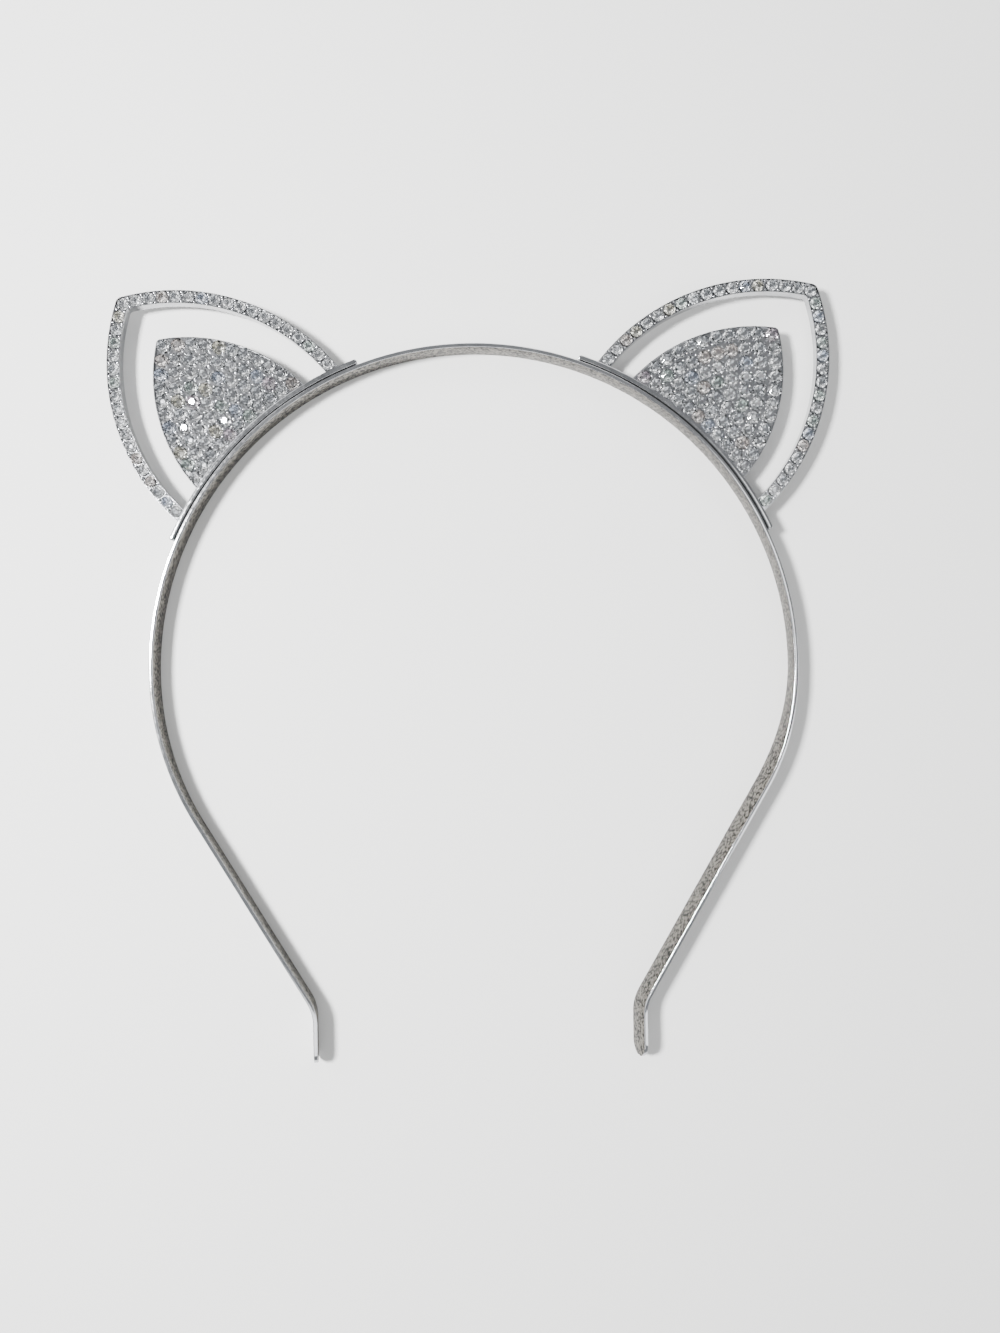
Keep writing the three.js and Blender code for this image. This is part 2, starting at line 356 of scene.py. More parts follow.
def apply_modifier(obj: bpy.types.Object, kind: str, **settings: object) -> None:
    """Puts a modifier on an object and applies it.

    Args:
        obj: the object that is changed.
        kind: the modifier's type.
        settings: its properties.
    """
    activate(obj)
    modifier = obj.modifiers.new(kind.lower(), kind)
    for name, value in settings.items():
        setattr(modifier, name, value)
    bpy.ops.object.modifier_apply(modifier=modifier.name)


def combine(obj: bpy.types.Object, other: bpy.types.Object, operation: str) -> None:
    """Joins or cuts an object with another, which is then removed.

    Args:
        obj: the object that is changed.
        other: the tool.
        operation: UNION, DIFFERENCE or INTERSECT.
    """
    apply_modifier(obj, "BOOLEAN", object=other, operation=operation, solver="EXACT")
    bpy.data.objects.remove(other)


def select_faces(obj: bpy.types.Object, wanted: Callable[[bmesh.types.BMFace], bool]) -> None:
    """Enters edit mode with only some faces selected.

    Args:
        obj: the object to edit.
        wanted: says whether a face is selected.
    """
    activate(obj)
    bpy.ops.object.mode_set(mode="EDIT")
    bpy.ops.mesh.select_mode(type="FACE")
    bpy.ops.mesh.select_all(action="DESELECT")
    mesh = bmesh.from_edit_mesh(obj.data)
    for face in mesh.faces:
        face.select_set(wanted(face))
    bmesh.update_edit_mesh(obj.data)


def finish_mesh(obj: bpy.types.Object, angle: float) -> None:
    """Merges doubles, points the faces outwards and smooths up to an angle.

    Args:
        obj: the finished piece.
        angle: faces that meet more sharply than this stay crisp, in degrees.
    """
    select_faces(obj, lambda _: True)
    bpy.ops.mesh.remove_doubles(threshold=WELD)
    bpy.ops.mesh.normals_make_consistent(inside=False)
    bpy.ops.object.mode_set(mode="OBJECT")
    bpy.ops.object.shade_smooth_by_angle(angle=math.radians(angle))


@dataclass
class Band:
    """The strip on edge: a half circle, two legs that close in, and straight ends."""

    depth: float = 6.0
    thickness: float = 0.9
    edge: float = 0.2
    crown_radius: float = 69.2
    end_bend: float = 9.0
    end_length: float = 9.0
    end_share: float = 0.88
    legs: tuple[dict[str, float], ...] = (
        {"side": -1, "jaw": 63, "turn": 31, "straight": 44.5, "leg_twist": -5, "end_twist": -7},
        {"side": 1, "jaw": 52, "turn": 30.4, "straight": 51.3, "leg_twist": 12, "end_twist": 17},
    )
    columns: int = 27
    end_steps: int = 8
    crown_steps: int = 60
    leg_steps: int = 24
    bend_steps: int = 16
    tail_steps: int = 4
    smooth_angle: float = 32
    # the strip's length in metres, known once its guide is made
    length: float = 0.0

    @property
    def centre_y(self) -> float:
        """Where the crown's centre is along Y, in millimetres."""
        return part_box("band")[1].y / MM - self.crown_radius

    def lift(self, twist: float) -> float:
        """How high the strip's middle stands when its rounded edge touches the surface."""
        up, out = self.depth / 2 - self.edge, self.thickness / 2 - self.edge
        return up * math.cos(twist) + out * abs(math.sin(twist)) + self.edge

    def leg_points(self, leg: dict[str, float]) -> list[tuple[Vector, float]]:
        """Walks the middle of the strip from the crown's top down one leg.

        Args:
            leg: how this leg is sprung.

        Returns:
            Points in millimetres, each with the twist there in radians.
        """
        turn = leg["turn"]
        tip = self.depth / 2 * math.sin(self.end_share * math.pi / 2)
        stretches = [
            (self.crown_radius * math.pi / 2, 90, self.crown_steps, 0),
            (leg["jaw"] * math.radians(turn), turn, self.leg_steps, leg["leg_twist"]),
            (leg["straight"], 0, self.leg_steps, leg["leg_twist"]),
            (self.end_bend * math.radians(turn), -turn, self.bend_steps, leg["end_twist"]),
            (self.end_length - self.depth / 2 + tip, 0, self.tail_steps, leg["end_twist"]),
        ]
        x, y, heading, twist = 0.0, self.crown_radius, 0.0, 0.0
        walked = [(x, y, heading, twist)]
        for length, degrees, steps, target in stretches:
            start, step = twist, math.radians(degrees) / steps
            for i in range(1, steps + 1):
                chord = length / steps
                if step:
                    chord *= math.sin(step / 2) / (step / 2)
                x += chord * math.cos(heading - step / 2)
                y += chord * math.sin(heading - step / 2)
                heading -= step
                share = i / steps
                twist = start + (math.radians(target) - start) * share * share * (3 - 2 * share)
                walked.append((x, y, heading, twist))
        inwards = self.thickness / 2
        points = []
        for px, py, h, t in walked:
            across = leg["side"] * (px + math.sin(h) * inwards)
            ahead = py - math.cos(h) * inwards + self.centre_y
            points.append((Vector((across, ahead, self.lift(t))), t))
        return points

    def guide(self) -> bpy.types.Object:
        """Makes the line that the strip is bent along, from the left end to the right.

        Returns:
            A curve with a tilt at each point.
        """
        left, right = (self.leg_points(leg) for leg in self.legs)
        points = [*reversed(left[1:]), *right]
        data = bpy.data.curves.new("band_guide", "CURVE")
        data.dimensions = "3D"
        data.twist_mode = "Z_UP"
        spline = data.splines.new("POLY")
        spline.points.add(len(points) - 1)
        for made, (place, twist) in zip(spline.points, points):
            made.co = (*(place * MM), 1.0)
            made.tilt = -twist
        guide = bpy.data.objects.new("band_guide", data)
        bpy.context.scene.collection.objects.link(guide)
        self.length = sum((b[0] - a[0]).length for a, b in zip(points, points[1:])) * MM
        return guide

    def strip(self) -> bpy.types.Object:
        """Cuts the flat strip with its rounded ends, before it is bent.

        Returns:
            A solid strip along +X, with its depth along Z.
        """
        round_length = self.depth / 2 * math.sin(self.end_share * math.pi / 2) * MM
        body = self.length - 2 * round_length
        clear_selection()
        bpy.ops.mesh.primitive_plane_add(size=1, rotation=(math.pi / 2, 0, 0))
        strip = added("band_strip")
        strip.scale = (body, self.depth * MM, 1)
        strip.location.x = self.length / 2
        bpy.ops.object.transform_apply(location=True, rotation=True, scale=True)
        for sign in (-1, 1):
            self.round_end(strip, sign, body / 2)
        for _ in range(2):
            self.cut_columns(strip, body / 2)
        apply_modifier(strip, "SOLIDIFY", thickness=self.thickness * MM, offset=0.0)
        apply_modifier(strip, "BEVEL", width=self.edge * MM, segments=3, limit_method="ANGLE")
        return strip

    def round_end(self, strip: bpy.types.Object, sign: int, reach: float) -> None:
        """Extrudes one end of the flat strip in steps that narrow to a round.

        Args:
            strip: the flat strip.
            sign: which end.
            reach: half the straight body's length.
        """
        middle = self.length / 2
        half = self.depth / 2 * MM
        activate(strip)
        bpy.ops.object.mode_set(mode="EDIT")
        bpy.ops.mesh.select_mode(type="EDGE")
        bpy.ops.mesh.select_all(action="DESELECT")
        mesh = bmesh.from_edit_mesh(strip.data)
        for edge in mesh.edges:
            edge.select_set(all(abs(v.co.x - middle - sign * reach) < WELD for v in edge.verts))
        bmesh.update_edit_mesh(strip.data)
        steps = self.end_steps
        angles = [self.end_share * math.pi / 2 * i / steps for i in range(steps + 1)]
        for before, after in zip(angles, angles[1:]):
            step = half * (math.sin(after) - math.sin(before))
            bpy.ops.mesh.extrude_region_move(TRANSFORM_OT_translate={"value": (sign * step, 0, 0)})
            narrower = math.cos(after) / math.cos(before)
            bpy.ops.transform.resize(value=(1, 1, narrower), center_override=(middle, 0, 0))
        bpy.ops.object.mode_set(mode="OBJECT")

    def cut_columns(self, strip: bpy.types.Object, reach: float) -> None:
        """Divides the strip's long edges, so that it can bend.

        Args:
            strip: the flat strip.
            reach: half the straight body's length.
        """
        middle = self.length / 2
        activate(strip)
        bpy.ops.object.mode_set(mode="EDIT")
        bpy.ops.mesh.select_mode(type="EDGE")
        bpy.ops.mesh.select_all(action="DESELECT")
        mesh = bmesh.from_edit_mesh(strip.data)
        for edge in mesh.edges:
            a, b = (v.co for v in edge.verts)
            inside = max(abs(a.x - middle), abs(b.x - middle)) < reach + WELD
            edge.select_set(inside and abs(a.z - b.z) < WELD)
        bmesh.update_edit_mesh(strip.data)
        bpy.ops.mesh.subdivide(number_cuts=self.columns - 1)
        bpy.ops.object.mode_set(mode="OBJECT")

    def build(self) -> bpy.types.Object:
        """Makes the strip, finishes its faces and bends it.

        Returns:
            The band in its place.
        """
        guide = self.guide()
        strip = self.strip()
        strip.name = "plated_band"
        strip.data.materials.append(BRIGHT_CHROME.build())
        # the inner face gets the satin chrome, whose speckle is a painted floor reflection and whose
        # dark tone is partly painted shade
        strip.data.materials.append(SATIN_CHROME_PAINTED_SHADE_REFLECTION.build())
        for face in strip.data.polygons:
            face.material_index = int(face.normal.y < -FACING)
        apply_modifier(strip, "CURVE", object=guide, deform_axis="POS_X")
        bpy.data.objects.remove(guide)
        finish_mesh(strip, self.smooth_angle)
        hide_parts("band")
        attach(strip, BODY)
        return strip


def on_round(centre: Point, radius: float, angle: float) -> Vector:
    """The point of a round at an angle from +X, in radians."""
    return Vector((centre[0] + radius * math.cos(angle), centre[1] + radius * math.sin(angle)))


@dataclass(frozen=True)
class Arch:
    """A pointed arch, even about x = 0: two arcs that cross at the tip."""

    centre_x: float
    centre_y: float
    radius: float

    @staticmethod
    def through(foot: Point, tip_y: float, radius: float) -> "Arch":
        """Finds the arch whose right arc runs from a foot to the tip.

        Args:
            foot: the right foot.
            tip_y: how far up the tip is.
            radius: of both arcs.

        Returns:
            The arch.
        """
        chord = Vector((-foot[0], tip_y - foot[1]))
        inset = math.sqrt(radius**2 - chord.length_squared / 4)
        normal = Vector((chord.y, -chord.x)).normalized()
        middle = Vector((foot[0] / 2, (foot[1] + tip_y) / 2))
        centre = middle - normal * inset
        return Arch(centre.x, centre.y, radius)

    def inset(self, by: float) -> "Arch":
        """The arch that lies inside this one by a distance."""
        return Arch(self.centre_x, self.centre_y, self.radius - by)

    @property
    def tip_y(self) -> float:
        """How far up the two arcs cross."""
        return self.centre_y + math.sqrt(self.radius**2 - self.centre_x**2)

    def tip_centre(self, tip_round: float) -> float:
        """How far up the middle of the tip's rounding is."""
        return self.centre_y + math.sqrt((self.radius - tip_round) ** 2 - self.centre_x**2)

    def foot_on(self, radius: float) -> Vector:
        """Where the right arc meets a round about the crown's centre."""
        apart = math.hypot(self.centre_x, self.centre_y)
        along = (apart**2 + radius**2 - self.radius**2) / (2 * apart)
        across = math.sqrt(radius**2 - along**2)
        ux, uy = self.centre_x / apart, self.centre_y / apart
        return Vector((ux * along + uy * across, uy * along - ux * across))

    def line(self, clear: float, tip_round: float, samples: int = 400) -> list[Vector]:
        """Points along the arch from the right foot over its rounded tip to the left.

        Args:
            clear: the radius about the crown's centre on which the feet stand.
            tip_round: the tip's radius.
            samples: points on each arc.

        Returns:
            The points in order.
        """
        foot = self.foot_on(clear)
        tip_centre = self.tip_centre(tip_round)
        start = math.atan2(foot.y - self.centre_y, foot.x - self.centre_x)
        meet = math.atan2(tip_centre - self.centre_y, -self.centre_x)
        side = [
            on_round((self.centre_x, self.centre_y), self.radius, a)
            for a in (start + (meet - start) * i / samples for i in range(samples + 1))
        ]
        cap = [
            on_round((0.0, tip_centre), tip_round, a)
            for a in (meet + (math.pi - 2 * meet) * i / samples for i in range(1, samples))
        ]
        return [*side, *cap, *[Vector((-p.x, p.y)) for p in reversed(side)]]


def spaced(line: list[Vector], pitch: float) -> list[Vector]:
    """Picks points at an even step as close as fits to a pitch, both ends included.

    Args:
        line: points close together.
        pitch: the wanted step.

    Returns:
        The picked points.
    """
    walked = [0.0]
    for a, b in zip(line, line[1:]):
        walked.append(walked[-1] + (b - a).length)
    count = round(walked[-1] / pitch)
    picked, at = [], 0
    for i in range(count + 1):
        goal = walked[-1] * i / count
        while at + 2 < len(line) and walked[at + 1] < goal:
            at += 1
        share = (goal - walked[at]) / (walked[at + 1] - walked[at])
        picked.append(line[at].lerp(line[at + 1], share))
    return picked


@dataclass
class EarShape:
    """The outlines of one ear in its own frame: crown centre at 0, tip on +Y."""

    angle: float = 42.9
    span: float = 47.7
    height: float = 39.3
    bow: float = 7.4
    frame_width: float = 2.75
    frame_tip_round: float = 1.5
    frame_inner_round: float = 0.9
    plate_side_gap: float = 7.0
    plate_tip_gap: float = 9.2
    plate_foot_gap: float = 5.4
    plate_tip_round: float = 1.0
    seat_gap: float = 0.3
    bar_thickness: float = 1.0
    bar_depth: float = 5.0
    bar_setback: float = 0.2
    bar_overhang: float = 3.6
    crown_radius: float = Band.crown_radius
    back_height: float = 2.5

    def __post_init__(self) -> None:
        """Works out the arches from the sizes."""
        self.bar_inner = self.crown_radius + self.seat_gap
        self.bar_outer = self.bar_inner + self.bar_thickness
        foot_x = self.span / 2
        foot_y = math.sqrt(self.bar_outer**2 - foot_x**2)
        tip_y = self.bar_outer + self.height
        chord = math.hypot(foot_x, tip_y - foot_y)
        radius = (chord**2 / 4 + self.bow**2) / (2 * self.bow)
        self.outer = Arch.through((foot_x, foot_y), tip_y, radius)
        self.inner = self.outer.inset(self.frame_width)
        inner_foot = self.inner.foot_on(self.bar_outer)
        turn = math.asin(inner_foot.x / self.bar_outer) - self.plate_foot_gap / self.bar_outer
        foot = (self.bar_outer * math.sin(turn), self.bar_outer * math.cos(turn))
        plate_radius = radius - self.frame_width - self.plate_side_gap
        self.plate = Arch.through(foot, self.inner.tip_y - self.plate_tip_gap, plate_radius)
        end_round = self.bar_thickness / 2
        to_round = math.asin(foot_x / self.bar_outer) + self.bar_overhang / self.bar_outer
        self.half_bar = to_round + end_round / (self.bar_inner + end_round)

    def placing(self, side: Side, centre_y: float) -> Matrix:
        """The move from the ear's own frame, in metres, to its place on one side."""
        turn = Matrix.Rotation(-side.value * math.radians(self.angle), 4, "Z")
        return Matrix.Translation((0, centre_y * MM, 0)) @ turn


@dataclass
class Casting:
    """One ear's metal: base bar, open frame and plate, with troughs for the stones."""

    shape: EarShape
    rim_top: float = 5.05
    rim_width: float = 0.15
    trough_depth: float = 0.55
    edge: float = 0.1
    disc_sides: int = 360
    tip_sides: int = 48
    crown_sides: int = 480
    trim_low: float = -9.0
    trim_high: float = 15.0
    bar_steps: int = 64
    end_round_share: float = 0.45
    end_match: float = 1e-3
    post_radius: float = 0.3
    post_top: float = 5.1
    post_sink: float = 0.05
    # inwards and upwards of each step of a post's round top
    post_dome: tuple[Point, ...] = ((0.08, 0.09), (0.09, 0.04))
    smooth_angle: float = 34

    def disc(
        self, x: float, y: float, radius: float, sides: int, low: float, high: float
    ) -> bpy.types.Object:
        """Adds a round disc between two heights, all in millimetres.

        Args:
            x: the middle along X.
            y: the middle along Y.
            radius: of the disc.
            sides: how finely it is round.
            low: its lower face.
            high: its upper face.

        Returns:
            The disc.
        """
        clear_selection()
        bpy.ops.mesh.primitive_cylinder_add(
            vertices=sides, radius=radius * MM, depth=(high - low) * MM,
            location=(x * MM, y * MM, (low + high) / 2 * MM),
        )
        bpy.ops.object.transform_apply(location=True, rotation=True, scale=True)
        return added("disc")

    def lens(self, arch: Arch, tip_round: float, low: float, high: float) -> bpy.types.Object:
        """Crosses two discs to a pointed form and gives it a round tip.

        Args:
            arch: its outline.
            tip_round: the tip's radius.
            low: its lower face.
            high: its upper face.

        Returns:
            The pointed form.
        """
        x, y, radius, sides = arch.centre_x, arch.centre_y, arch.radius, self.disc_sides
        form = self.disc(x, y, radius, sides, low, high)
        other = self.disc(-x, y, radius, sides, low - OVERSHOOT, high + OVERSHOOT)
        combine(form, other, "INTERSECT")
        tip_centre = arch.tip_centre(tip_round)
        meet = math.atan2(tip_centre - arch.centre_y, -arch.centre_x)
        select_faces(form, lambda _: True)
        bpy.ops.mesh.bisect(
            plane_co=(0, (tip_centre + tip_round * math.sin(meet)) * MM, 0), plane_no=(0, 1, 0),
            use_fill=True, clear_outer=True,
        )
        bpy.ops.object.mode_set(mode="OBJECT")
        combine(form, self.disc(0, tip_centre, tip_round, self.tip_sides, low, high), "UNION")
        return form

    def trim(self, form: bpy.types.Object, radius: float) -> None:
        """Cuts a form off along a round about the crown's centre."""
        cutter = self.disc(0, 0, radius, self.crown_sides, self.trim_low, self.trim_high)
        combine(form, cutter, "DIFFERENCE")

    def walls(self) -> tuple[bpy.types.Object, bpy.types.Object]:
        """Makes the open frame and the plate, both as high as their rims.

        Returns:
            The frame and the plate.
        """
        shape, low, high = self.shape, self.shape.back_height, self.rim_top
        frame = self.lens(shape.outer, shape.frame_tip_round, low, high)
        hole = self.lens(shape.inner, shape.frame_inner_round, low - OVERSHOOT, high + OVERSHOOT)
        combine(frame, hole, "DIFFERENCE")
        return frame, self.lens(shape.plate, shape.plate_tip_round, low, high)

    def troughs(self) -> tuple[bpy.types.Object, bpy.types.Object]:
        """Makes what is cut out of the frame and the plate, which leaves a thin flat rim.

        Returns:
            The frame's trough and the plate's.
        """
        shape, rim = self.shape, self.rim_width
        floor, above = self.rim_top - self.trough_depth, self.rim_top + OVERSHOOT
        frame = self.lens(shape.outer.inset(rim), shape.frame_tip_round - rim, floor, above)
        island = self.lens(
            shape.inner.inset(-rim), shape.frame_inner_round + rim,
            floor - OVERSHOOT, above + OVERSHOOT,
        )
        combine(frame, island, "DIFFERENCE")
        return frame, self.lens(shape.plate.inset(rim), shape.plate_tip_round - rim, floor, above)

    def bar(self) -> bpy.types.Object:
        """Spins the base bar's section along the crown and rounds its ends.

        Returns:
            The base bar.
        """
        shape = self.shape
        high = Band.depth - shape.bar_setback
        low = high - shape.bar_depth
        middle = (shape.bar_inner + shape.bar_outer) / 2
        clear_selection()
        bpy.ops.mesh.primitive_plane_add(
            size=1, location=(middle * MM, 0, (low + high) / 2 * MM), rotation=(math.pi / 2, 0, 0),
        )
        bar = added("base_bar")
        bar.scale = (shape.bar_thickness * MM, shape.bar_depth * MM, 1)
        bpy.ops.object.transform_apply(location=True, rotation=True, scale=True)
        # spin turns clockwise about +Z, so the section starts at the left end
        start = math.pi / 2 + shape.half_bar
        bar.data.transform(Matrix.Rotation(start, 4, "Z"))
        select_faces(bar, lambda _: True)
        bpy.ops.mesh.spin(
            steps=self.bar_steps, angle=2 * shape.half_bar, center=(0, 0, 0), axis=(0, 0, 1),
        )
        bpy.ops.mesh.select_all(action="SELECT")
        bpy.ops.mesh.remove_doubles(threshold=WELD)
        bpy.ops.mesh.select_mode(type="EDGE")
        bpy.ops.mesh.select_all(action="DESELECT")
        mesh = bmesh.from_edit_mesh(bar.data)
        open_edges = [e for e in mesh.edges if len(e.link_faces) < 2]
        for edge in open_edges:
            edge.select_set(True)
        bmesh.update_edit_mesh(bar.data)
        if open_edges:
            bpy.ops.mesh.fill_holes(sides=4)
        bpy.ops.mesh.select_mode(type="FACE")
        bpy.ops.mesh.select_all(action="SELECT")
        bpy.ops.mesh.normals_make_consistent(inside=False)
        self.round_bar_ends(bar)
        return bar

    def round_bar_ends(self, bar: bpy.types.Object) -> None:
        """Rounds the upright edges at both ends of the base bar."""
        bpy.ops.mesh.select_mode(type="EDGE")
        bpy.ops.mesh.select_all(action="DESELECT")
        mesh = bmesh.from_edit_mesh(bar.data)
        ends = (math.pi / 2 - self.shape.half_bar, math.pi / 2 + self.shape.half_bar)
        for edge in mesh.edges:
            a, b = (v.co for v in edge.verts)
            turn = math.atan2(a.y, a.x)
            upright = (a.xy - b.xy).length < WELD
            edge.select_set(upright and min(abs(turn - end) for end in ends) < self.end_match)
        bmesh.update_edit_mesh(bar.data)
        end_round = self.end_round_share * self.shape.bar_thickness
        bpy.ops.mesh.bevel(offset=end_round * MM, segments=4, affect="EDGES")
        bpy.ops.object.mode_set(mode="OBJECT")

    def model(self, post_places: list[Vector]) -> bpy.types.Object:
        """Builds the metal of one ear in its own frame.

        Args:
            post_places: where the small posts between the stones stand.

        Returns:
            The casting.
        """
        shape = self.shape
        bar = self.bar()
        apply_modifier(bar, "BEVEL", width=self.edge * MM, segments=2, limit_method="ANGLE")
        for form, trough in zip(self.walls(), self.troughs()):
            self.trim(form, (shape.bar_inner + shape.bar_outer) / 2)
            self.trim(trough, shape.bar_outer)
            combine(form, trough, "DIFFERENCE")
            combine(bar, form, "UNION")
        self.add_posts(bar, post_places)
        return bar

    def add_posts(self, casting: bpy.types.Object, places: list[Vector]) -> None:
        """Stands a small round-topped post in each gap between stones.

        Args:
            casting: the metal that carries them.
            places: their middles.
        """
        low = self.rim_top - self.trough_depth - self.post_sink
        clear_selection()
        bpy.ops.mesh.primitive_cylinder_add(
            vertices=8, radius=self.post_radius * MM, depth=(self.post_top - low) * MM,
            location=(0, 0, (self.post_top + low) / 2 * MM),
        )
        post = added("post")
        bpy.ops.object.transform_apply(location=True, rotation=True, scale=True)
        select_faces(post, lambda f: f.normal.z > FACING)
        for inwards, upwards in self.post_dome:
            bpy.ops.mesh.inset(thickness=inwards * MM)
            bpy.ops.transform.translate(value=(0, 0, upwards * MM))
        bpy.ops.object.mode_set(mode="OBJECT")
        copies = []
        for place in places:
            copy = post.copy()
            copy.data = post.data.copy()
            copy.data.transform(Matrix.Translation((place.x * MM, place.y * MM, 0)))
            bpy.context.scene.collection.objects.link(copy)
            copies.append(copy)
        bpy.data.objects.remove(post)
        activate(casting)
        for copy in copies:
            copy.select_set(True)
        bpy.ops.object.join()


@dataclass(frozen=True)
class Stone:
    """A round cut stone with a table, a faceted crown and a foiled pavilion, in few faces."""

    diameter: float
    girdle_z: float = 5.1
    crown: float = 0.44
    pavilion: float = 0.7
    table_share: float = 0.5
    main_share: float = 0.62
    main_depth: float = 0.55
    culet_share: float = 0.16

    def model(self, name: str) -> bpy.types.Object:
        """Builds one stone about the origin, with its girdle at its own height.

        Args:
            name: what the stone is called.

        Returns:
            The stone.
        """
        radius = self.diameter / 2
        eighth = math.pi / 8
        # corners, share of the girdle's radius, height and turn
        rings = [
            (8, self.table_share, self.crown, 0.0),
            (16, 1.0, 0.0, 0.0),
            (8, self.main_share, -self.pavilion * self.main_depth, eighth),
            (4, self.culet_share, -self.pavilion, 0.0),
        ]
        parts = []
        for sides, share, height, turn in rings:
            clear_selection()
            bpy.ops.mesh.primitive_circle_add(
                vertices=sides, radius=radius * share * MM,
                location=(0, 0, height * MM), rotation=(0, 0, turn),
            )
            bpy.ops.object.transform_apply(location=True, rotation=True, scale=True)
            parts.append(bpy.context.object)
        activate(parts[0])
        for part in parts[1:]:
            part.select_set(True)
        bpy.ops.object.join()
        stone = added(name)
        bpy.ops.object.mode_set(mode="EDIT")
        bpy.ops.mesh.select_all(action="SELECT")
        bpy.ops.mesh.convex_hull(join_triangles=True)
        bpy.ops.mesh.normals_make_consistent(inside=False)
        bpy.ops.object.mode_set(mode="OBJECT")
        for face in stone.data.polygons:
            face.material_index = int(face.normal.z < 0)
        return stone


# the pale tints that are painted on a stone's glass and foil to stand in for the coloured fire of cut
# glass (painted coloured glints), and how often each is drawn
FIRE_TINTS = ("#FFFFFF", "#F4F6F8", "#DFE9FB", "#FCEDE2", "#E6F5EA", "#FAF3D9", "#F7E4ED")
FIRE_TINT_WEIGHTS = (10, 8, 2, 1.6, 1.2, 1.0, 1.0)


@dataclass
class StoneSet:
    """Copies of one stone at given places, each turned and tipped a little."""

    stone: Stone
    places: list[Vector]
    seed: int
    tip_degrees: float = 9.0

    def model(self, name: str) -> bpy.types.Object:
        """Builds the stones in the ear's own frame.

        Args:
            name: what the piece is called.

        Returns:
            All the stones as one mesh, each with a tint painted in for its coloured fire.
        """
        draw = random.Random(self.seed)
        pattern = self.stone.model("one_stone")
        tip = math.radians(self.tip_degrees)
        copies = []
        for place in self.places:
            copy = pattern.copy()
            copy.data = pattern.data.copy()
            tipped = draw.gauss(0, tip / 2), draw.gauss(0, tip / 2)
            turn = Euler((*tipped, draw.uniform(0, math.pi / 4)))
            lift = Vector((place.x * MM, place.y * MM, self.stone.girdle_z * MM))
            copy.data.transform(Matrix.Translation(lift) @ turn.to_matrix().to_4x4())
            # a pale tint that stands in for the coloured fire of cut glass, painted into the stone
            tint = srgb(draw.choices(FIRE_TINTS, FIRE_TINT_WEIGHTS)[0])
            layer = copy.data.color_attributes.new(STONE_FIRE_TINT, "FLOAT_COLOR", "CORNER")
            layer.data.foreach_set("color", [*tint] * len(layer.data))
            bpy.context.scene.collection.objects.link(copy)
            copies.append(copy)
        bpy.data.objects.remove(pattern)
        activate(copies[0])
        for copy in copies[1:]:
            copy.select_set(True)
        bpy.ops.object.join()
        return added(name)


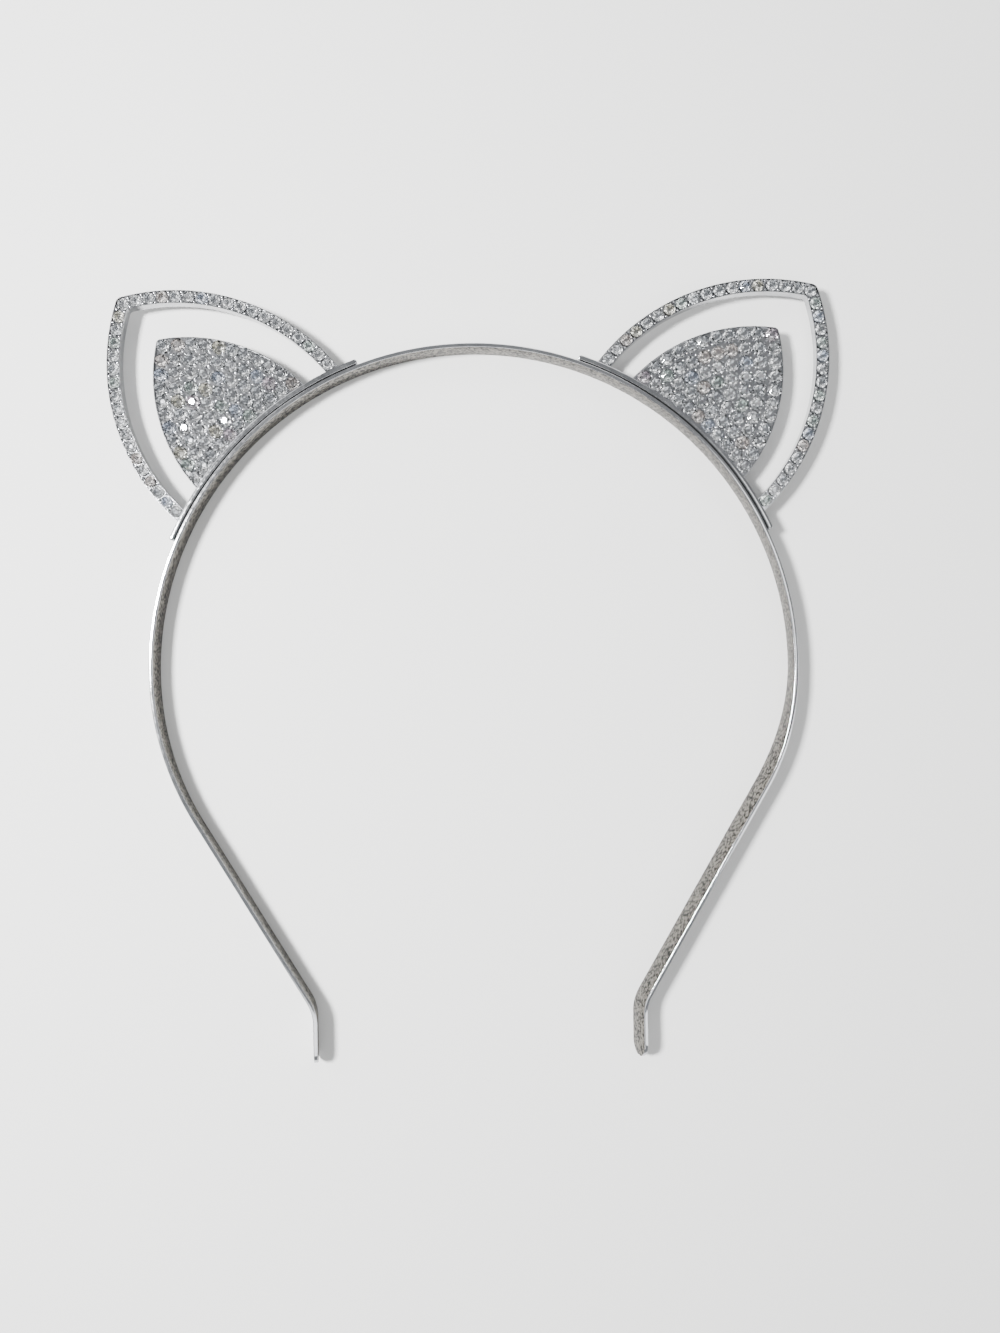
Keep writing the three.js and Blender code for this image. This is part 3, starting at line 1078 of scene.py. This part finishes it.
@dataclass
class Ear:
    """One ear: its casting, the row of stones on the frame and the field on the plate."""

    shape: EarShape
    row_pitch: float = 2.8
    row_diameter: float = 2.35
    field_rows: int = 11
    field_diameter: float = 2.65
    field_stone: float = 2.84
    row_stone: float = 2.45
    stone_margin: float = 0.2
    post_setback: float = 0.42
    row_seed: int = 40
    field_seed: int = 70

    def row_places(self) -> list[Vector]:
        """The middles of the frame's stones, from the right foot to the left."""
        shape = self.shape
        line = shape.outer.inset(shape.frame_width / 2)
        clear = shape.bar_outer + shape.seat_gap + self.row_diameter / 2
        return spaced(line.line(clear, shape.frame_tip_round), self.row_pitch)

    def field_grid(self) -> list[list[Vector]]:
        """The middles of the plate's stones, in rows from the tip to the base.

        Returns:
            The rows, each one stone longer than the last.
        """
        shape, arch = self.shape, self.shape.plate
        edge = self.stone_margin + self.field_diameter / 2
        inside = arch.inset(edge)
        base_radius = shape.bar_outer + shape.seat_gap + self.field_diameter / 2
        right = inside.foot_on(base_radius)
        tip, left = Vector((0, inside.tip_y)), Vector((-right.x, right.y))

        def bow(chord: float, radius: float) -> float:
            return radius - math.sqrt(radius**2 - chord**2 / 4)

        side_bow = bow((tip - right).length, inside.radius)
        base_bow = bow(2 * right.x, base_radius)
        along = (right - tip).normalized()
        outwards = Vector((-along.y, along.x))
        mirrored = Vector((-outwards.x, outwards.y))
        last = self.field_rows - 1
        grid = []
        for row in range(self.field_rows):
            line = []
            for i in range(row + 1):
                # shares of the tip, the right foot and the left foot, 1 in all
                t, r, l = (n / last for n in (last - row, row - i, i))
                place = tip * t + right * r + left * l
                place += outwards * (4 * t * r * side_bow) + mirrored * (4 * t * l * side_bow)
                place += Vector((0, 4 * r * l * base_bow))
                line.append(place)
            grid.append(line)
        return grid

    def post_places(self, row: list[Vector], grid: list[list[Vector]]) -> list[Vector]:
        """Where the posts stand: beside each two row stones, and between three field stones.

        Args:
            row: the frame's stones.
            grid: the plate's stones.

        Returns:
            The posts' middles.
        """
        reach = self.shape.frame_width / 2 - self.post_setback
        places = []
        for a, b in zip(row, row[1:]):
            across = Vector((a.y - b.y, b.x - a.x)).normalized() * reach
            places += [(a + b) / 2 + across, (a + b) / 2 - across]
        for upper, lower in zip(grid, grid[1:]):
            places += [(upper[i] + lower[i] + lower[i + 1]) / 3 for i in range(len(upper))]
            places += [(upper[i] + upper[i + 1] + lower[i + 1]) / 3 for i in range(len(upper) - 1)]
        return places

    def build(self, side: Side, centre_y: float, metal: bpy.types.Material, glass: list) -> None:
        """Builds the three pieces of one ear in their place.

        Args:
            side: which ear.
            centre_y: where the crown's centre is along Y.
            metal: the casting's finish.
            glass: the stones' crown and back finishes.
        """
        row, grid = self.row_places(), self.field_grid()
        field_places = [place for line in grid for place in line]
        casting = Casting(self.shape)
        posts = self.post_places(row, grid)
        row_set = StoneSet(Stone(self.row_stone), row, self.row_seed + side.value)
        field_set = StoneSet(Stone(self.field_stone), field_places, self.field_seed + side.value)
        made = [
            (casting.model(posts), "casting_metal", "ear_casting", "plated_casting", [metal]),
            (row_set.model("row"), "frame_row", "frame_stones", "cut_stone", glass),
            (field_set.model("field"), "plate_field", "plate_stones", "cut_stone", glass),
        ]
        placing = self.shape.placing(side, centre_y)
        for obj, name, node, slot, finishes in made:
            obj.name = f"{side.word}_{name}"
            obj.data.transform(placing)
            obj.data.materials.clear()
            for finish in finishes:
                obj.data.materials.append(finish)
            if slot == "plated_casting":
                finish_mesh(obj, casting.smooth_angle)
            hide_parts(f"{side.word}_{node}")
            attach(obj, BODY)
            LOG.info("%s: %d faces", obj.name, len(obj.data.polygons))


@dataclass
class Studio:
    """Floor, soft lights and the camera that looks straight down."""

    camera_height: float = 247.0
    camera_x: float = 5.6
    camera_ahead: float = 0.2
    roll_degrees: float = 1.1
    sensor: float = 36.0
    focal_share: float = 1.1327
    clip_start: float = 0.01
    floor_size: float = 12.0
    floor_drop: float = 0.02
    surround: float = 0.55
    surround_colour: str = "#E8EAEC"
    # name, place in metres, side in metres and power in watts
    lamps: tuple[tuple[str, tuple[float, float, float], float, float], ...] = (
        ("key", (-0.27, 0.06, 0.45), 0.09, 14.0),
        ("panel_crown", (0.3, 0.08, 1.3), 0.25, 0.7),
        ("panel_front", (0.1, -0.7, 1.1), 0.8, 6.4),
        ("panel_left", (-0.95, 0.75, 0.9), 0.8, 6.4),
        ("panel_right", (1.0, -0.25, 0.8), 0.7, 4.9),
        ("panel_back", (0.2, 1.1, 0.9), 0.7, 4.9),
    )

    def area_light(self, name: str, place: Vector, size: float, power: float, aim: Vector) -> None:
        """Adds a square soft light that faces a point, all in metres and watts.

        Args:
            name: what the light is called.
            place: where it is.
            size: its side.
            power: its strength.
            aim: the point that it faces.
        """
        data = bpy.data.lights.new(name, "AREA")
        data.size = size
        data.energy = power
        light = bpy.data.objects.new(name, data)
        light.location = place
        light.rotation_euler = (aim - place).to_track_quat("-Z", "Y").to_euler()
        bpy.context.scene.collection.objects.link(light)

    def build(self, centre_y: float) -> None:
        """Makes the floor, the lights, the world and the camera.

        Args:
            centre_y: where the crown's centre is along Y, in millimetres.
        """
        clear_selection()
        bpy.ops.mesh.primitive_plane_add(size=self.floor_size, location=(0, 0, -self.floor_drop * MM))
        floor = added("floor")
        bpy.ops.object.transform_apply(location=True, rotation=True, scale=True)
        floor.data.materials.append(Paper().build())
        for name, place, size, power in self.lamps:
            self.area_light(name, Vector(place), size, power, Vector((0, 0, 0)))
        world = bpy.data.worlds.new("studio")
        world.use_nodes = True
        background = world.node_tree.nodes["Background"]
        background.inputs["Color"].default_value = srgb(self.surround_colour)
        background.inputs["Strength"].default_value = self.surround
        bpy.context.scene.world = world
        data = bpy.data.cameras.new("camera")
        data.sensor_fit = "HORIZONTAL"
        data.sensor_width = self.sensor
        data.lens = self.sensor * self.focal_share
        data.clip_start = self.clip_start
        camera = bpy.data.objects.new("camera", data)
        eye = Vector((self.camera_x, centre_y + self.camera_ahead, self.camera_height))
        camera.location = eye * MM
        camera.rotation_euler = (0, 0, -math.radians(self.roll_degrees))
        bpy.context.scene.collection.objects.link(camera)
        bpy.context.scene.camera = camera


def main() -> None:
    """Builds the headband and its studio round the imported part."""
    logging.basicConfig(level=logging.INFO, format="%(name)s %(message)s")
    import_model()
    band = Band()
    centre_y = band.centre_y
    Studio().build(centre_y)
    strip = band.build()
    LOG.info("%s: %d faces", strip.name, len(strip.data.polygons))
    metal = CAST_CHROME.build()
    glass = [CutGlass().build(), Foil().build()]
    ear = Ear(EarShape())
    for side in Side:
        ear.build(side, centre_y, metal, glass)
    clear_selection()


if __name__ == "__main__":
    main()
